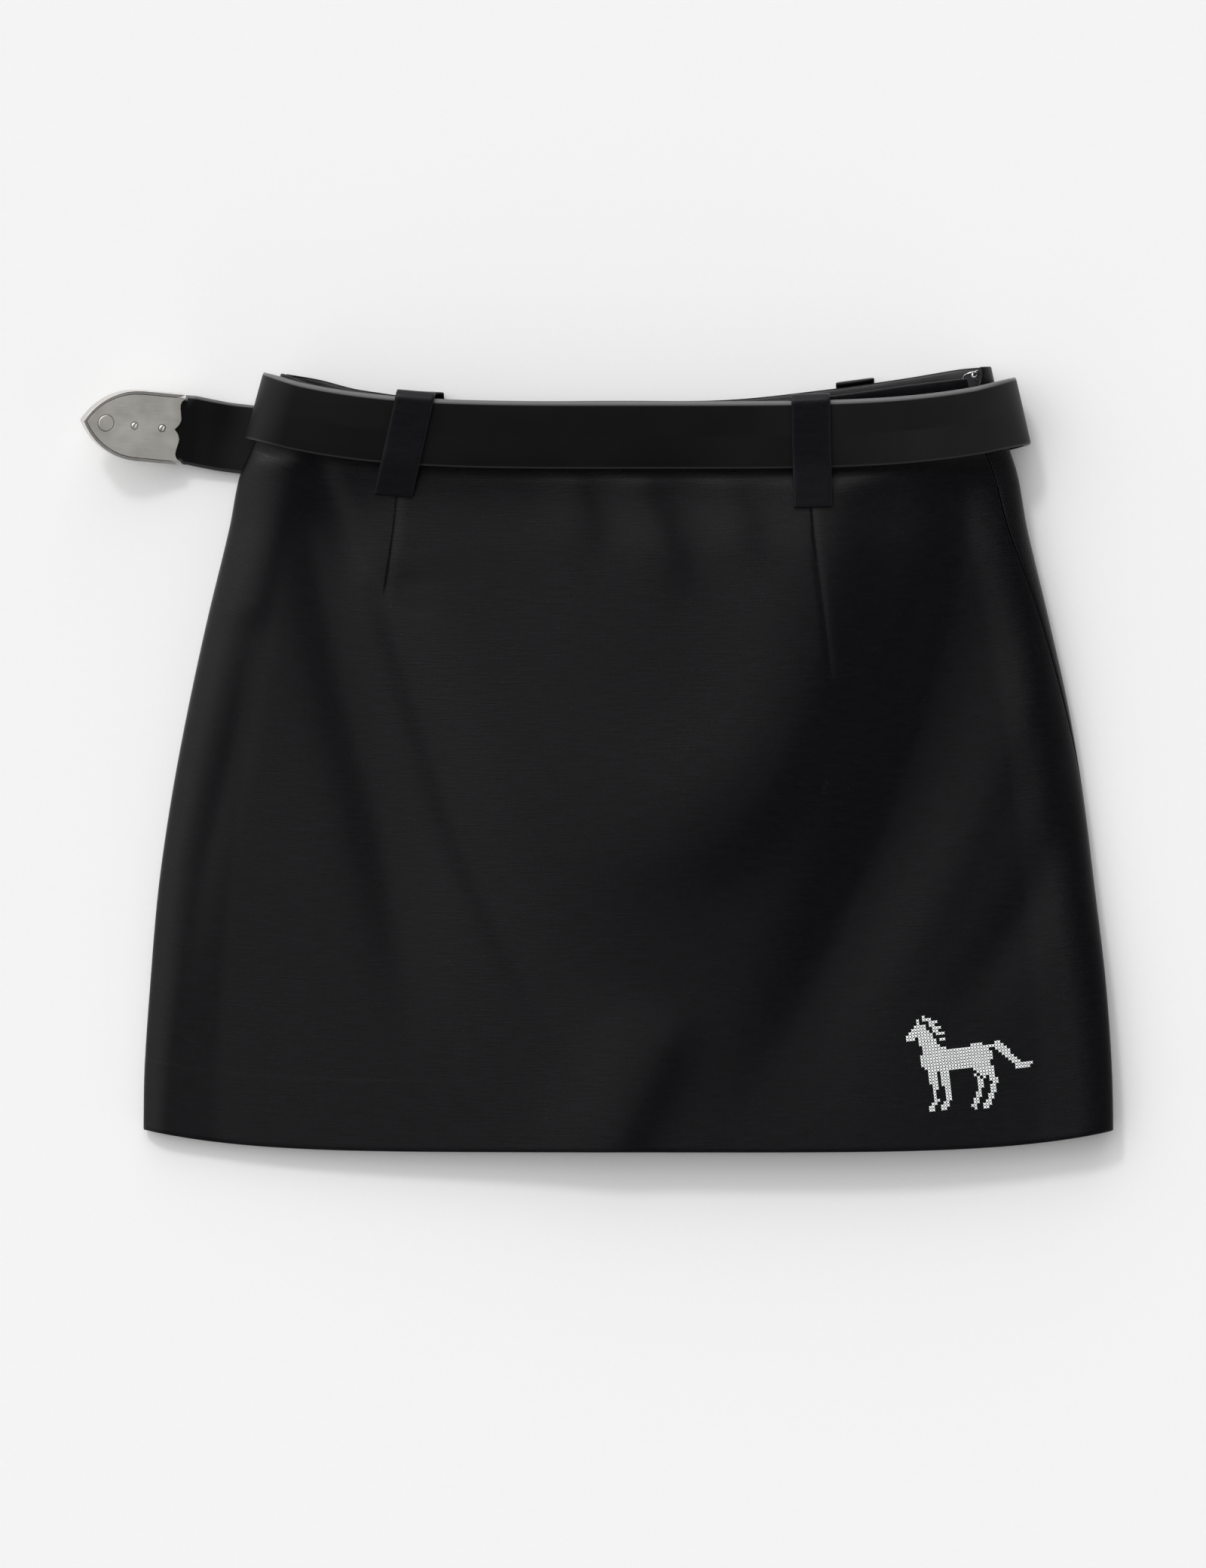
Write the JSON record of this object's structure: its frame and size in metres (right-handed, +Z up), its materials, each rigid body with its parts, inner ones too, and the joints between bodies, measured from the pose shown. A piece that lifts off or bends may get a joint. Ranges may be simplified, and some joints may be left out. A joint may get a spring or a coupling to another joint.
{
  "type": "embroidered mini skirt with belt",
  "caption": "A-line mini skirt laid flat, waist closed by a hook and eye, own leather belt in its loops with a metal end.",
  "frame": {"origin": "on the surface that the skirt lies on, under the middle of the back panel, halfway between waist and hem", "axes": "+Y from the hem to the waist, +X to the viewer's right, +Z up off the surface, towards the camera"},
  "size_m": [0.5211, 0.3963, 0.0498],
  "materials": {
    "suiting": "black woven suiting, matt",
    "facing": "black facing cloth, slightly smoother",
    "belt_leather": "black leather with painted edges, satin",
    "belt_metal": "aged grey metal, brushed and a little worn",
    "wire": "bright nickelled wire"
  },
  "bodies": {
    "root": {"front_panel": "suiting", "back_panel": "suiting", "back_facing": "facing", "loop_front_left": "suiting", "loop_front_right": "suiting", "loop_back_left": "suiting", "loop_back_right": "suiting", "belt_strap": "belt_leather", "tip_inner_plate": "belt_metal", "tip_outer_cap": "belt_metal", "tip_stud": "belt_metal", "tip_screw_1": "belt_metal", "tip_screw_2": "belt_metal", "hook": "wire", "eye": "wire"}
  },
  "joints": []
}
